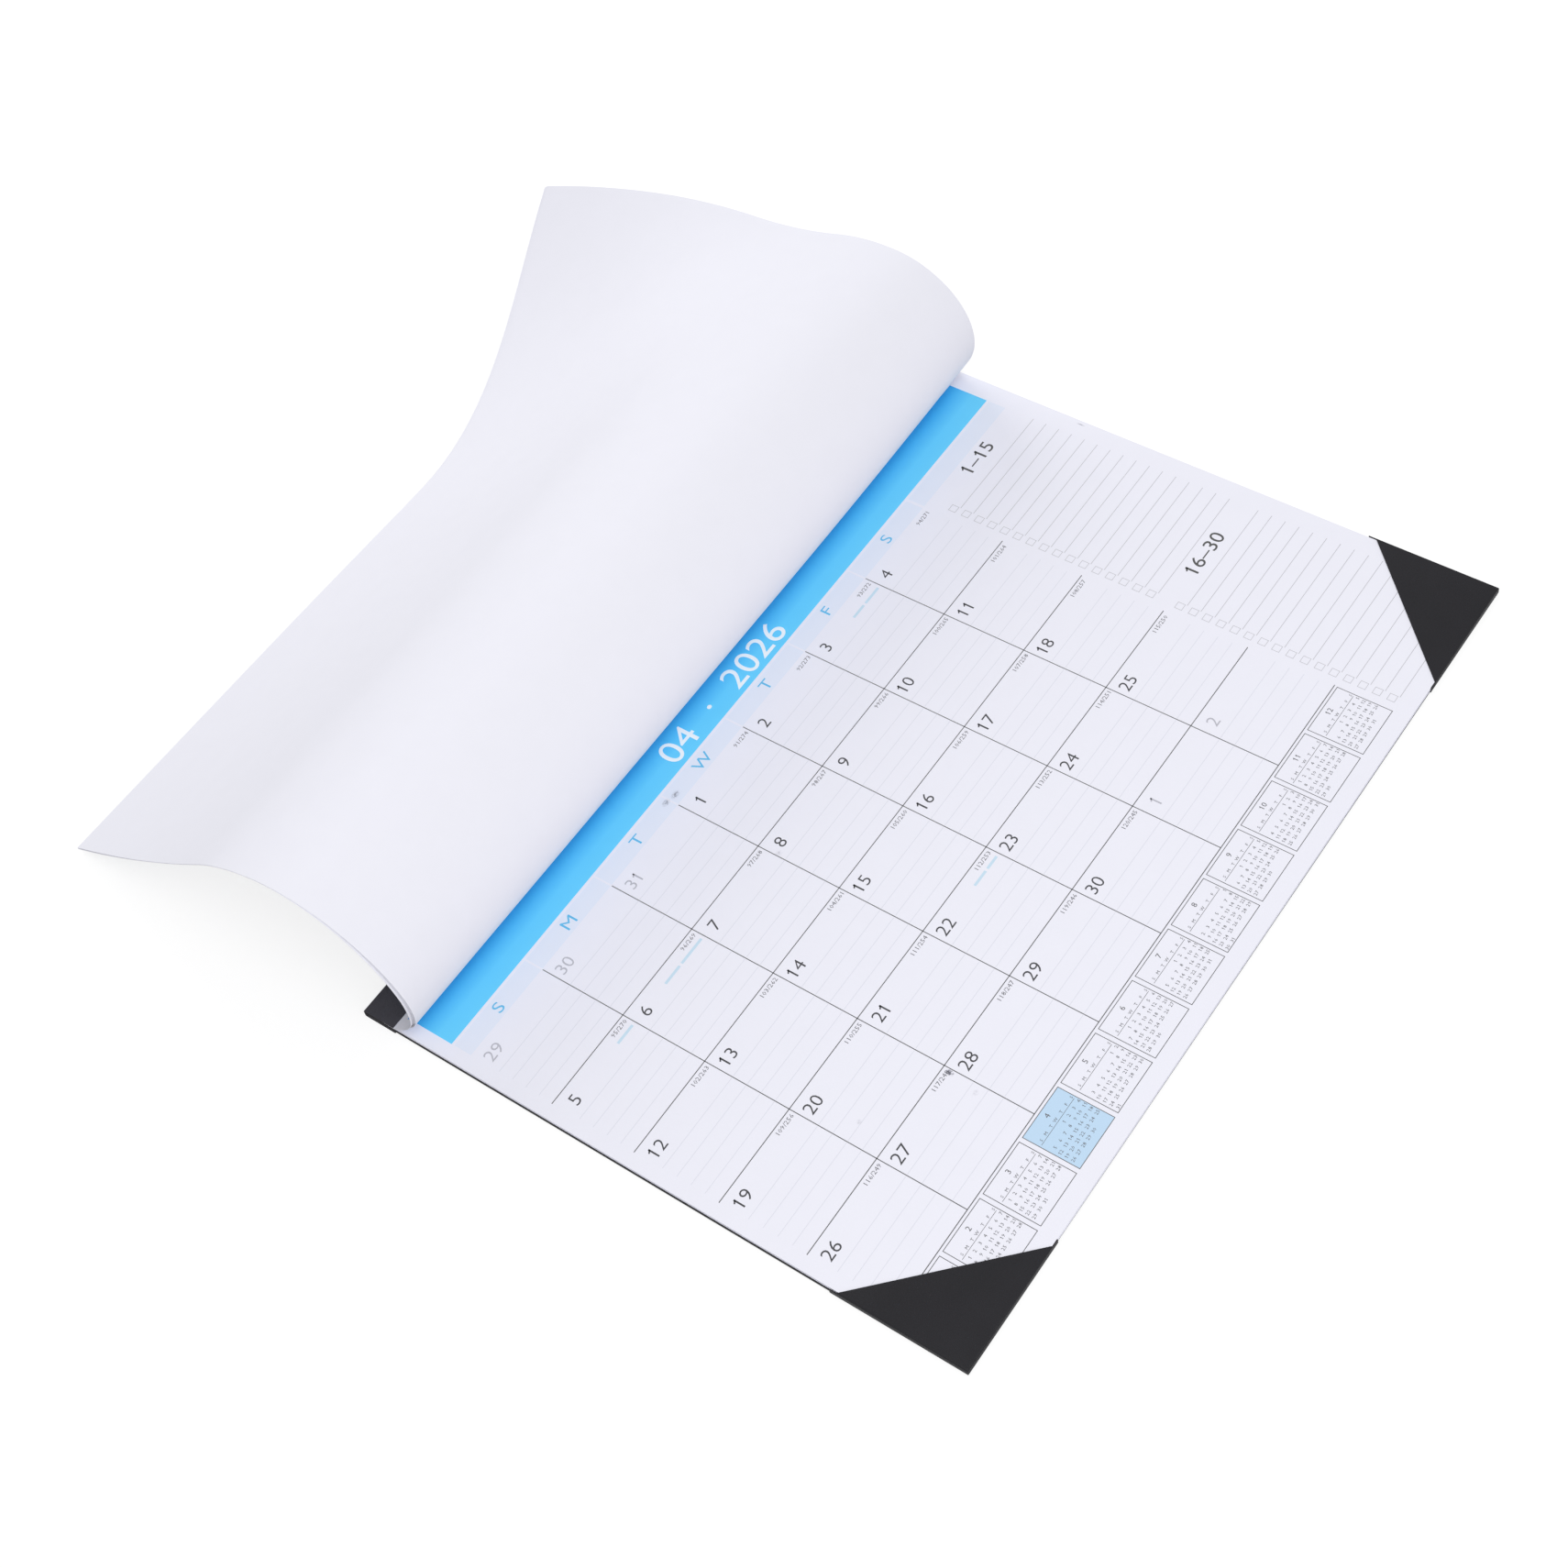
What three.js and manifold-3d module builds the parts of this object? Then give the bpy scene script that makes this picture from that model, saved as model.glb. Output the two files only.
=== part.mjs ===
// Desk pad calendar, open at a later month: flat leaves on a backing board, stapled under a wrapped
// strip, held down by two corner pockets, with the used leaves turned back over the binding.
// Millimetres, +Z up from the desk, +Y towards the binding, +X to the right of the reader.
import * as THREE from 'three';
import { mergeVertices } from 'three/addons/utils/BufferGeometryUtils.js';
import Module from 'manifold-3d';

const wasm = await Module();
wasm.setup();

// Driving dimensions

const AIR = 0.1; // air between sheets that lie on each other
const COVER = 0.4; // thickness of the leatherette of strip and pockets

const BOARD = { width: 432, height: 305, thickness: 1.2 };
const PAPER = {
  sideMargin: 1, // bare board left and right of the leaves
  endMargin: 0.5, // bare board in front of the leaves and behind them
  blockThickness: 1.8, // of the leaves that lie flat
};

const STRIP = {
  flap: 17, // width of the strip on the face and on the back
  overhang: 0.5, // how far it runs past each end of the board
  topFold: 1.4, // outer radius of the fold over the leaves
  boardFold: 0.7, // outer radius of the fold under the board
};

const POCKET = {
  leg: 60.5, // pad edge covered by the front layer
  lip: 3.5, // how much further the back layer and the sides run
  fold: 0.8, // outer radius of the folded edges
};

const STAPLE = {
  count: 4,
  inset: 8.5, // from the board's bound edge to the row of staples
  crown: 12,
  wire: 0.6,
  clinch: 4.5, // length of each leg bent under the board
  bend: 0.8,
  clearance: 0.1, // round the wire in the paper and the board
};

// The turned leaves leave the strip at a crease, loop forward over the page and run back.
// Each stretch is one arc: the share of the free length where it ends, and the heading that it
// reaches there, in degrees above the way to the back, at the left and the right edge.
const TURNED = {
  thickness: 0.5,
  arcs: [
    { end: 0, left: 150, right: 148 },
    { end: 0.024, left: 144, right: 136 },
    { end: 0.056, left: 130, right: 120 },
    { end: 0.104, left: 99, right: 97 },
    { end: 0.167, left: 69, right: 68 },
    { end: 0.243, left: 44, right: 36 },
    { end: 0.33, left: 18, right: 6 },
    { end: 0.451, left: -12, right: -14 },
    { end: 0.608, left: -36, right: 8 },
    { end: 0.781, left: -31, right: 0 },
    { end: 1, left: -23, right: -6 },
  ],
  curlFrom: 0.62, // share of the width that keeps the left edge's run
  swingFrom: 0.28, // share of the free length where the sheet starts to swing to the left
  leftSwing: 4, // how far the left free corner has swung
  rightSwing: 39,
  columns: 24,
  tightRows: 30, // round the loop
  tightUntil: 0.42, // share of the free length that they cover
  looseRows: 17, // beyond it
};

const COLOURS = {
  paper: { color: 0xececf6, roughness: 0.85, metalness: 0 },
  turnedPaper: { color: 0xf0f0f8, roughness: 0.85, metalness: 0 },
  card: { color: 0x1e1e21, roughness: 0.8, metalness: 0 },
  leatherette: { color: 0x2b2b2e, roughness: 0.6, metalness: 0 },
  wire: { color: 0xb8bcc2, roughness: 0.35, metalness: 1 },
};

// Levels of the stack above the desk

const BOARD_BASE = COVER + AIR;
const BLOCK_BASE = BOARD_BASE + BOARD.thickness + AIR;
const BLOCK_TOP = BLOCK_BASE + PAPER.blockThickness;
const TURNED_BASE = BLOCK_TOP + AIR;
const TURNED_TOP = TURNED_BASE + TURNED.thickness;
const STRIP_TOP = TURNED_TOP + AIR + COVER;
const POCKET_TOP = BLOCK_TOP + AIR + COVER;

// Edges of the pad and its leaves

const LEAF_WIDTH = BOARD.width - 2 * PAPER.sideMargin;
const LEAF_HEIGHT = BOARD.height - 2 * PAPER.endMargin;
const BOARD_RIGHT = BOARD.width / 2;
const BOARD_BACK = BOARD.height / 2;
const STRIP_BACK = BOARD_BACK + AIR + COVER;
const CREASE_Y = STRIP_BACK - STRIP.flap;
const ROOT = LEAF_HEIGHT / 2 - CREASE_Y; // stretch of each leaf under the strip
const FREE = LEAF_HEIGHT - ROOT; // and the rest of it

const MARGIN = 1; // how far a cutting body stands past what it cuts

// Solids and meshes

function toSolid(geometry) {
  const bare = geometry.clone();
  bare.deleteAttribute('normal');
  bare.deleteAttribute('uv');
  const merged = mergeVertices(bare);
  return new wasm.Manifold(new wasm.Mesh({
    numProp: 3,
    vertProperties: new Float32Array(merged.attributes.position.array),
    triVerts: new Uint32Array(merged.index.array),
  }));
}

function toGeometry(solid) {
  const { vertProperties, triVerts } = solid.getMesh();
  const geometry = new THREE.BufferGeometry();
  geometry.setAttribute('position', new THREE.BufferAttribute(vertProperties, 3));
  geometry.setIndex(new THREE.BufferAttribute(triVerts, 1));
  geometry.computeVertexNormals();
  return geometry;
}

function namedMesh(name, solid, colour) {
  const mesh = new THREE.Mesh(toGeometry(solid), new THREE.MeshStandardMaterial(colour));
  mesh.name = name;
  return mesh;
}

function slab(width, height, base, thickness) {
  return toSolid(new THREE.BoxGeometry(width, height, thickness).translate(0, 0, base + thickness / 2));
}

// Staples: a flat wire bent square, its legs clinched towards each other under the board

function stapleSolid(x, grow) {
  const half = STAPLE.crown / 2 + grow;
  const wire = STAPLE.wire + 2 * grow;
  const bend = STAPLE.bend + grow;
  const low = BOARD_BASE - grow;
  const high = TURNED_TOP + grow;
  const tip = STAPLE.crown / 2 - STAPLE.clinch - grow;

  const outline = new THREE.Shape();
  outline.moveTo(tip, low);
  outline.lineTo(half - bend, low);
  outline.absarc(half - bend, low + bend, bend, -Math.PI / 2, 0);
  outline.absarc(half - bend, high - bend, bend, 0, Math.PI / 2);
  outline.absarc(bend - half, high - bend, bend, Math.PI / 2, Math.PI);
  outline.absarc(bend - half, low + bend, bend, Math.PI, Math.PI * 1.5);
  outline.lineTo(-tip, low);
  outline.lineTo(-tip, low + wire);
  outline.lineTo(wire - half, low + wire);
  outline.lineTo(wire - half, high - wire);
  outline.lineTo(half - wire, high - wire);
  outline.lineTo(half - wire, low + wire);
  outline.lineTo(tip, low + wire);

  const geometry = new THREE.ExtrudeGeometry(outline, {
    depth: wire,
    bevelEnabled: false,
    curveSegments: 4,
  });
  geometry.rotateX(Math.PI / 2);
  return toSolid(geometry.translate(x, BOARD_BACK - STAPLE.inset + wire / 2, 0));
}

const stapleXs = Array.from(
  { length: STAPLE.count },
  (_, i) => (i - (STAPLE.count - 1) / 2) * (BOARD.width / STAPLE.count),
);

function punched(solid) {
  return stapleXs.reduce((rest, x) => rest.subtract(stapleSolid(x, STAPLE.clearance)), solid);
}

// Turned leaves: a flat sheet, cut to size in rows and columns, then bent along its arcs

function headingAt(distance, share) {
  const reached = distance / FREE;
  const next = TURNED.arcs.findIndex((arc) => arc.end >= reached);
  const to = TURNED.arcs[Math.max(next, 1)];
  const from = TURNED.arcs[Math.max(next, 1) - 1];
  const along = (reached - from.end) / (to.end - from.end);
  const left = THREE.MathUtils.lerp(from.left, to.left, along);
  const right = THREE.MathUtils.lerp(from.right, to.right, along);
  const curl = Math.max(0, (share - TURNED.curlFrom) / (1 - TURNED.curlFrom)) ** 2;
  return THREE.MathUtils.degToRad(THREE.MathUtils.lerp(left, right, curl));
}

function swingAt(distance, share) {
  const run = Math.max(0, (distance / FREE - TURNED.swingFrom) / (1 - TURNED.swingFrom));
  return THREE.MathUtils.lerp(TURNED.leftSwing, TURNED.rightSwing, share) * run ** 2;
}

// How far from the crease each row of the sheet lies; the first is the bound edge
function rowDistances() {
  const { tightRows, looseRows, tightUntil } = TURNED;
  const rows = [-ROOT];
  for (let i = 0; i <= tightRows; i += 1) {
    rows.push(FREE * tightUntil * (i / tightRows));
  }
  for (let i = 1; i <= looseRows; i += 1) {
    rows.push(FREE * THREE.MathUtils.lerp(tightUntil, 1, i / looseRows));
  }
  return rows;
}

// The middle line of the sheet at one share of its width: a point and a facing for every row
function leafLine(share, rows) {
  const x0 = (share - 0.5) * LEAF_WIDTH;
  let y = LEAF_HEIGHT / 2;
  let z = TURNED_BASE + TURNED.thickness / 2;
  let x = x0;
  return rows.map((distance, row) => {
    if (row > 0) {
      const step = distance - rows[row - 1];
      const middle = distance - step / 2;
      const heading = middle < 0 ? Math.PI : headingAt(middle, share);
      const nextX = x0 - swingAt(distance, share);
      const run = Math.sqrt(step ** 2 - (nextX - x) ** 2);
      x = nextX;
      y += run * Math.cos(heading);
      z += run * Math.sin(heading);
    }
    const facing = distance < 0 ? Math.PI : headingAt(distance, share);
    return { point: new THREE.Vector3(x, y, z), facing };
  });
}

function turnedLeavesGeometry() {
  const rows = rowDistances();
  const rowCount = rows.length - 1;
  const sheet = new THREE.BoxGeometry(
    LEAF_WIDTH,
    LEAF_HEIGHT,
    TURNED.thickness,
    TURNED.columns,
    rowCount,
    1,
  );
  const lines = Array.from(
    { length: TURNED.columns + 1 },
    (_, column) => leafLine(column / TURNED.columns, rows),
  );
  const corner = sheet.attributes.position;
  const bent = new THREE.Vector3();
  for (let i = 0; i < corner.count; i += 1) {
    const column = Math.round((corner.getX(i) / LEAF_WIDTH + 0.5) * TURNED.columns);
    const row = Math.round((0.5 - corner.getY(i) / LEAF_HEIGHT) * rowCount);
    const { point, facing } = lines[column][row];
    const depth = corner.getZ(i);
    bent.set(0, Math.sin(facing), -Math.cos(facing)).multiplyScalar(depth).add(point);
    corner.setXYZ(i, bent.x, bent.y, bent.z);
  }
  return sheet;
}

// Strip: one folded section along the whole bound edge

function stripGeometry() {
  const { topFold, boardFold } = STRIP;
  const section = new THREE.Shape();
  section.moveTo(CREASE_Y, 0);
  section.lineTo(STRIP_BACK - boardFold, 0);
  section.absarc(STRIP_BACK - boardFold, boardFold, boardFold, -Math.PI / 2, 0);
  section.absarc(STRIP_BACK - topFold, STRIP_TOP - topFold, topFold, 0, Math.PI / 2);
  section.lineTo(CREASE_Y, STRIP_TOP);
  section.lineTo(CREASE_Y, STRIP_TOP - COVER);
  section.absarc(STRIP_BACK - topFold, STRIP_TOP - topFold, topFold - COVER, Math.PI / 2, 0, true);
  section.absarc(STRIP_BACK - boardFold, boardFold, boardFold - COVER, 0, -Math.PI / 2, true);
  section.lineTo(CREASE_Y, COVER);

  const length = BOARD.width + 2 * STRIP.overhang;
  const geometry = new THREE.ExtrudeGeometry(section, {
    depth: length,
    bevelEnabled: false,
    curveSegments: 6,
  });
  // The section's first axis becomes Y, its second Z and its depth X
  geometry.applyMatrix4(new THREE.Matrix4().set(
    0, 0, 1, -length / 2,
    1, 0, 0, 0,
    0, 1, 0, 0,
    0, 0, 0, 1,
  ));
  return geometry;
}

// Corner pockets: a folded plate with round edges, hollowed and cut across

function cornerPrism(side, outX, outY, leg, base, height) {
  const triangle = new THREE.Shape([
    new THREE.Vector2(side * outX, -outY),
    new THREE.Vector2(side * (outX - leg), -outY),
    new THREE.Vector2(side * outX, leg - outY),
  ]);
  const geometry = new THREE.ExtrudeGeometry(triangle, { depth: height, bevelEnabled: false });
  return toSolid(geometry.translate(0, 0, base));
}

function pocketSolid(side) {
  const outX = BOARD_RIGHT + AIR + COVER;
  const outY = BOARD_BACK + AIR + COVER;
  const { leg, lip, fold } = POCKET;
  const size = leg + lip + 2 * fold;

  const plate = new THREE.Shape([
    new THREE.Vector2(side * (outX - fold), fold - outY),
    new THREE.Vector2(side * (outX - fold), size - outY),
    new THREE.Vector2(side * (outX - size), size - outY),
    new THREE.Vector2(side * (outX - size), fold - outY),
  ]);
  const rounded = new THREE.ExtrudeGeometry(plate, {
    depth: POCKET_TOP - 2 * fold,
    bevelThickness: fold,
    bevelSize: fold,
    bevelSegments: 4,
  });
  const folded = toSolid(rounded.translate(0, 0, fold));

  const back = cornerPrism(side, outX + MARGIN, outY + MARGIN, leg + lip + 2 * MARGIN,
    -MARGIN, POCKET_TOP - COVER + MARGIN);
  const front = cornerPrism(side, outX + MARGIN, outY + MARGIN, leg + 2 * MARGIN,
    -MARGIN, POCKET_TOP + 2 * MARGIN);
  const hollow = new THREE.BoxGeometry(size, size, POCKET_TOP - 2 * COVER);
  hollow.translate(
    side * (outX - COVER - size / 2),
    size / 2 + COVER - outY,
    POCKET_TOP / 2,
  );
  return folded.intersect(back.add(front)).subtract(toSolid(hollow));
}

// The calendar, with its origin on the desk at the middle of its footprint

const calendar = new THREE.Group();
calendar.name = 'desk_calendar';

calendar.add(
  namedMesh(
    'backing_board',
    punched(slab(BOARD.width, BOARD.height, BOARD_BASE, BOARD.thickness)),
    COLOURS.card,
  ),
  namedMesh(
    'page_block',
    punched(slab(LEAF_WIDTH, LEAF_HEIGHT, BLOCK_BASE, PAPER.blockThickness)),
    COLOURS.paper,
  ),
  namedMesh('turned_leaves', punched(toSolid(turnedLeavesGeometry())), COLOURS.turnedPaper),
  namedMesh('binding_strip', toSolid(stripGeometry()), COLOURS.leatherette),
  namedMesh('corner_pocket_left', pocketSolid(-1), COLOURS.leatherette),
  namedMesh('corner_pocket_right', pocketSolid(1), COLOURS.leatherette),
  ...stapleXs.map((x, i) => namedMesh(`binding_staple_${i + 1}`, stapleSolid(x, 0), COLOURS.wire)),
);

const footprint = new THREE.Box3().setFromObject(calendar).getCenter(new THREE.Vector3());
calendar.position.set(-footprint.x, -footprint.y, 0);
calendar.updateMatrixWorld(true);

export default calendar;
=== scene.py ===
"""Desk pad calendar: an open page on a board, its used leaves turned back over the binding."""

import math
import random

import bmesh
import bpy
from bpy.props import FloatProperty, FloatVectorProperty, IntProperty, PointerProperty
from mathutils import Matrix, Vector


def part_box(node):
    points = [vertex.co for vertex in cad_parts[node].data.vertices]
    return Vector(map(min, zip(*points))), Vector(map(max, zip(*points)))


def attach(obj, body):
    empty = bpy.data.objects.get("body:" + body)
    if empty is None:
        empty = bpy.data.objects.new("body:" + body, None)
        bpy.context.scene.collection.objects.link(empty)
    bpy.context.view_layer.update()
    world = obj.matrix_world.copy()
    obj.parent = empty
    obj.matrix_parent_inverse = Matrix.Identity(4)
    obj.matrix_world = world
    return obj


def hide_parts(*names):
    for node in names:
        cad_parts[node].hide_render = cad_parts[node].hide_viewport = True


bl_info = {
    "name": "Desk Pad Calendar",
    "version": (1, 0, 0),
    "blender": (4, 5, 0),
    "location": "View3D > Sidebar > Calendar",
    "description": "Builds the leaves, print, cover parts and stage of a desk pad calendar",
    "category": "Object",
}

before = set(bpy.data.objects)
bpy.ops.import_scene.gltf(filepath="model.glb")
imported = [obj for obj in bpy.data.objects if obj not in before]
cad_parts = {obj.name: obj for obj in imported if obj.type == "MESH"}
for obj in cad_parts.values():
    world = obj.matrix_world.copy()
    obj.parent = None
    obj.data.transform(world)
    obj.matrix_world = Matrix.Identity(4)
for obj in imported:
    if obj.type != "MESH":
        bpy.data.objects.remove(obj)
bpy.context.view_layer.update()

MM = 0.001
PAGE_LOW, PAGE_HIGH = (Vector(corner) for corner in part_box("page_block"))

# The print is laid out from the top left corner of the day grid, x to the right and y up the page
GRID_INSET = Vector((5.7 * MM, 250.0 * MM, 0))
GRID_ORIGIN = Vector((PAGE_LOW.x, PAGE_LOW.y, PAGE_HIGH.z)) + GRID_INSET

# Heights of the printed layers over the sheet, and how deep they reach into it
FIELD_TOP = 0.012 * MM
LINE_TOP = 0.022 * MM
NUMBER_TOP = 0.032 * MM
MARK_TOP = 0.038 * MM
SUNK = 0.004 * MM
WRITTEN_RISE = 0.03 * MM  # more for the unsplit letters on the bent leaf

# The year
DAYS_IN_WEEK = 7
WEEKS = 5
MONTH_DAYS = (31, 28, 31, 30, 31, 30, 31, 31, 30, 31, 30, 31)
YEAR_DAYS = sum(MONTH_DAYS)
FIRST_WEEKDAY = 4
OPEN_MONTH = 3
TURNED_MONTH = 0
WEEKDAY_LETTERS = "SMTWTFS"

# Lettering: the font's digits and the short slanted stroke that its digit one lacks
DIGIT_ASPECT = 1.08
DIGIT_RISE = 0.7
DIGIT_ADVANCE = 0.5
DIGITS = "0123456789–"
THIN = -0.006
FLAG_PLACE = (-0.055, 0.575)
FLAG_SIZE = (0.22, 0.075, 1, 1)
FLAG_TURN = math.radians(38)

# The bands: left, low, right and high of the title, low and high of the weekdays
TITLE_BAND = (0.3 * MM, 11.6 * MM, 415 * MM, 33 * MM)
TITLE_RISE = 9.1 * MM
TITLE_HEIGHT = 12.4 * MM
HEADER_BAND = (1.0 * MM, 10.2 * MM)
HEADER_GAP = 0.45 * MM
HEADER_HEIGHT = 5.6 * MM

# The days: how far the grid's lines reach, and where each day's numbers, rules and notes lie
GRID_LEFT = 0.2 * MM
GRID_RIGHT = 343.6 * MM
GRID_ABOVE = 0.6 * MM
NUMBER_INSET = 6.7 * MM
NUMBER_DROP = 7.1 * MM
FIRST_WEEK_DROP = 6.3 * MM
COUNT_INSET = 1.4 * MM
COUNT_DROP = 2.5 * MM
COUNT_HEIGHT = 2.1 * MM
RULES_IN_DAY = 6
RULE_HALF = 0.14 * MM
RULE_INSET = 0.6 * MM

# Short notes in the days: the day, and the widths of their words
DAY_NOTES = ((3, (8.2, 10.4)), (5, (10.2,)), (6, (10.2, 14.2)), (22, (8.6, 7.2)))
NOTE_INSET = 1.8 * MM
NOTE_DROP = 6.5 * MM
FIRST_NOTE_DROP = 1.2 * MM  # more in the first week
NOTE_HALF = 0.65 * MM
WORD_GAP = 1.4

# The two lists: left and right, then each one's first line, its pitch and where its head stands
LISTS = (347.6 * MM, 415.4 * MM)
LIST_RUNS = ((-12.1 * MM, 7.11 * MM, -4.4 * MM), (-133.7 * MM, 7.02 * MM, -127.8 * MM))
LIST_HEADS = ("1–15", "16–30")
LIST_HEAD_HEIGHT = 6.9 * MM
LIST_ROWS = 16
LIST_BOX = 3.6 * MM
LIST_BOX_LINE = 0.28 * MM
LIST_LINE_DROP = 0.9 * MM
LIST_LINE_HALF = 0.16 * MM

# The year's row of small months, with the inset, drop and height of what is written in each
YEAR_ROW = (-215.9 * MM, -242.4 * MM)
YEAR_LEFT = 0.5 * MM
YEAR_PITCH = 28.74 * MM
YEAR_BOX = 26.4 * MM
YEAR_LINE = 0.32 * MM
YEAR_RULE = (1 * MM, 8.3 * MM, 0.1 * MM)
YEAR_NUMBER = (3.2 * MM, 2.5 * MM)  # in its middle, so without an inset
YEAR_LETTERS = (3.2 * MM, 7.0 * MM, 1.4 * MM)
YEAR_DAYS_AT = (3.4 * MM, 10.4 * MM, 1.55 * MM)
YEAR_DAY_PITCH = (3.74 * MM, 2.97 * MM)

# Marks on the page: middle x, y, half width, half depth, how much they cover
MARKS = (
    (145.2, 6.2, 2.6, 1.7, 0.7),
    (150.8, 5.2, 2.8, 1.7, 0.7),
    (96.3, -175.2, 1.5, 2.2, 1.6),
    (148.6, -52.9, 1.8, 1.6, 0.3),
    (58.8, -156.3, 1.5, 1.2, 0.25),
    (94.0, -189.2, 1.8, 1.4, 0.2),
    (422.7, -36.8, 0.35, 2.4, 1.0),
)

# How the names of the pieces end that hold letters or numbers
WRITTEN = ("_number", "_numbers", "_counts", "_letters")

# Inks of one flat colour: the colour and how unevenly it covers
INKS = {
    "writing_rules": ((0.73, 0.74, 0.82), 0.04),
    "list_lines": ((0.56, 0.56, 0.6), 0.06),
    "year_numbers": ((0.16, 0.16, 0.17), 0.1),
    "neighbour_numbers": ((0.5, 0.5, 0.56), 0.06),
    "day_counts": ((0.2, 0.2, 0.22), 0.1),
    "title_number": ((0.93, 0.95, 0.97), 0.03),
    "weekday_letters": ((0.13, 0.52, 0.83), 0.05),
    "list_numbers": ((0.1, 0.1, 0.1), 0.1),
    "day_notes": ((0.58, 0.75, 0.88), 0.05),
}

# Painted shade: the title band darkens between these distances from the crease, to these shares of
# it
LOOP_SHADE_SPAN = (18.5 * MM, 3 * MM)
LOOP_SHADE_INK = (0.09, 0.57, 0.84)

# Paper: its sheen and the depth of its tooth
PAPER_SHINE = 0.3
PAPER_TOOTH = 0.02 * MM

# Flat leaves: how far they end inside the board's sides, how far they reach over its front at the
# left and at the right, how uneven their edges are, and the paper's share of their pitch
EDGE_INSET = 0.35 * MM
FRONT_REACH = (0.38 * MM, 0.12 * MM)
TRIM = 0.35 * MM
TRIM_SEED = 4
LEAF_SHARE = 0.82

# The turned sheet's run, as in the solid: share of the free length, then the heading at the left
# and at the right edge
CREASE_TO_EDGE = 288 * MM
ROOT = 16 * MM
LEAF_WIDTH = 430 * MM
SOLID_THICKNESS = 0.5 * MM
SOLID_GAP = 0.1 * MM
ARCS = (
    (0, 150, 148),
    (0.024, 144, 136),
    (0.056, 130, 120),
    (0.104, 99, 97),
    (0.167, 69, 68),
    (0.243, 44, 36),
    (0.33, 18, 6),
    (0.451, -12, -14),
    (0.608, -36, 8),
    (0.781, -31, 0),
    (1, -23, -6),
)
CURL_FROM = 0.62
SWING_FROM = 0.28
CREASE_Y = 38 * MM
LEFT_SWING = 4 * MM
RIGHT_SWING = 39 * MM
LEAF_COLUMNS = 48
LEAF_ROWS = 144

# The turned leaves: their pitch, how far each stands out to the left, the outermost first, where
# they part, as the low, peak and high of a swell, and how the fan at the free edge runs
TURNED_LEAVES = 3
TURNED_PITCH = 0.16 * MM
SIDE_STEPS = (0, 0.3 * MM, 1.5 * MM)
SIDE_SWELL = (-0.3, 0.06, 0.5)
LOOP_SWELL = (0.0, 0.13, 0.4)
FREE_GAP = 0.25 * MM
FREE_SWELL = (0.75, 1.0, 1.25)
FAN = (0.5, 2.5)
FAN_SWELL = (0.35, 0.85, 1.1)

# Cover parts: painted light makes the strip paler than the pockets; it is a little shorter than
# its solid
FLAT_ANGLE = math.radians(0.5)
SHARP_ANGLE = math.radians(50)
ARRIS = 0.1 * MM
STRIP_WIDTH = 432.8 * MM
STRIP_PAINTED_LIGHT = 3.0

# Stage: each light's place and size, the camera, and the floor as the light and the camera see it
KEY_LIGHT = (Vector((-0.5, -1.0, 1.8)), 1.4)
RIM_LIGHT = (Vector((0.6, 1.1, 0.6)), 0.8)
CAMERA_PLACE = (-0.50395, -0.52523, 0.936)
CAMERA_RIGHT = Vector((0.5721, -0.8089, -0.1358))
CAMERA_UP = Vector((0.7098, 0.4053, 0.5762))
SENSOR = 36
FLOOR_HALF = 8
FLOOR_LIT = (0.7, 0.7, 0.7, 1)
FLOOR_SEEN = (0.3, 0.3, 0.3, 1)
FLOOR_GLOW = 0.76
WHITE = (1, 1, 1, 1)


# Values a user would change


def size_property(name, description, default, low, high):
    """A length in millimetres that the user can set."""
    return FloatProperty(
        name=name, description=description, default=default * MM, min=low * MM, max=high * MM,
        unit="LENGTH", precision=5,
    )


def color_property(name, description, default):
    """A colour that the user can set."""
    return FloatVectorProperty(
        name=name, description=description, subtype="COLOR", size=3, default=default, min=0, max=1,
    )


def power_property(name, description, default):
    """A light's power that the user can set."""
    return FloatProperty(
        name=name, description=description, default=default, min=0, max=200, unit="POWER",
    )


class CalendarPaperSettings(bpy.types.PropertyGroup):
    page_color: color_property("Page", "Colour of the flat leaves", (0.857, 0.857, 0.94))
    # Painted light: the turned leaves are a little lighter than the page, standing in for light on
    # them
    turned_color: color_property(
        "Turned leaves", "Colour of the turned leaves' plain backs", (0.87, 0.87, 0.945),
    )
    flat_leaves: IntProperty(
        name="Flat leaves", description="Leaves lying on the board", default=12, min=2, max=24,
    )
    leaf_thickness: size_property(
        "Leaf thickness", "Thickness of one turned leaf", 0.14, 0.05, 0.15,
    )
    loop_gap: size_property(
        "Gap in the loop", "How far the turned leaves part in the loop", 1.2, 0, 1.5,
    )
    edge_fan: size_property(
        "Fan at the free edge", "How much further each turned leaf reaches", 0.5, 0, 2,
    )


class CalendarPrintSettings(bpy.types.PropertyGroup):
    cell_width: size_property("Day width", "Width of one day's cell", 49, 30, 60)
    cell_depth: size_property("Day depth", "Depth of one day's cell", 42.88, 25, 50)
    line_width: size_property("Line", "Width of the grid's lines", 0.42, 0.1, 1)
    numeral_height: size_property("Day number", "Height of the day numbers", 5.9, 3, 8)
    band_color: color_property("Title band", "Colour of the title band", (0.14, 0.65, 1.0))
    header_color: color_property("Weekday band", "Colour of the weekday band", (0.79, 0.83, 0.94))
    month_color: color_property(
        "Open month", "Field of the open month in the year's row", (0.53, 0.71, 0.9),
    )
    ink_color: color_property("Ink", "Colour of the numbers", (0.075, 0.075, 0.082))
    line_color: color_property("Grid ink", "Colour of the grid's lines", (0.15, 0.15, 0.155))


class CalendarCoverSettings(bpy.types.PropertyGroup):
    # The strip takes this colour made paler, as painted light
    cover_color: color_property(
        "Leatherette", "Colour of the strip and the corner pockets", (0.0185, 0.018, 0.0217),
    )
    grain_size: size_property("Grain", "Size of one pebble of the grain", 0.7, 0.2, 3)
    board_color: color_property("Board", "Colour of the backing board", (0.02, 0.02, 0.023))


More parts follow.
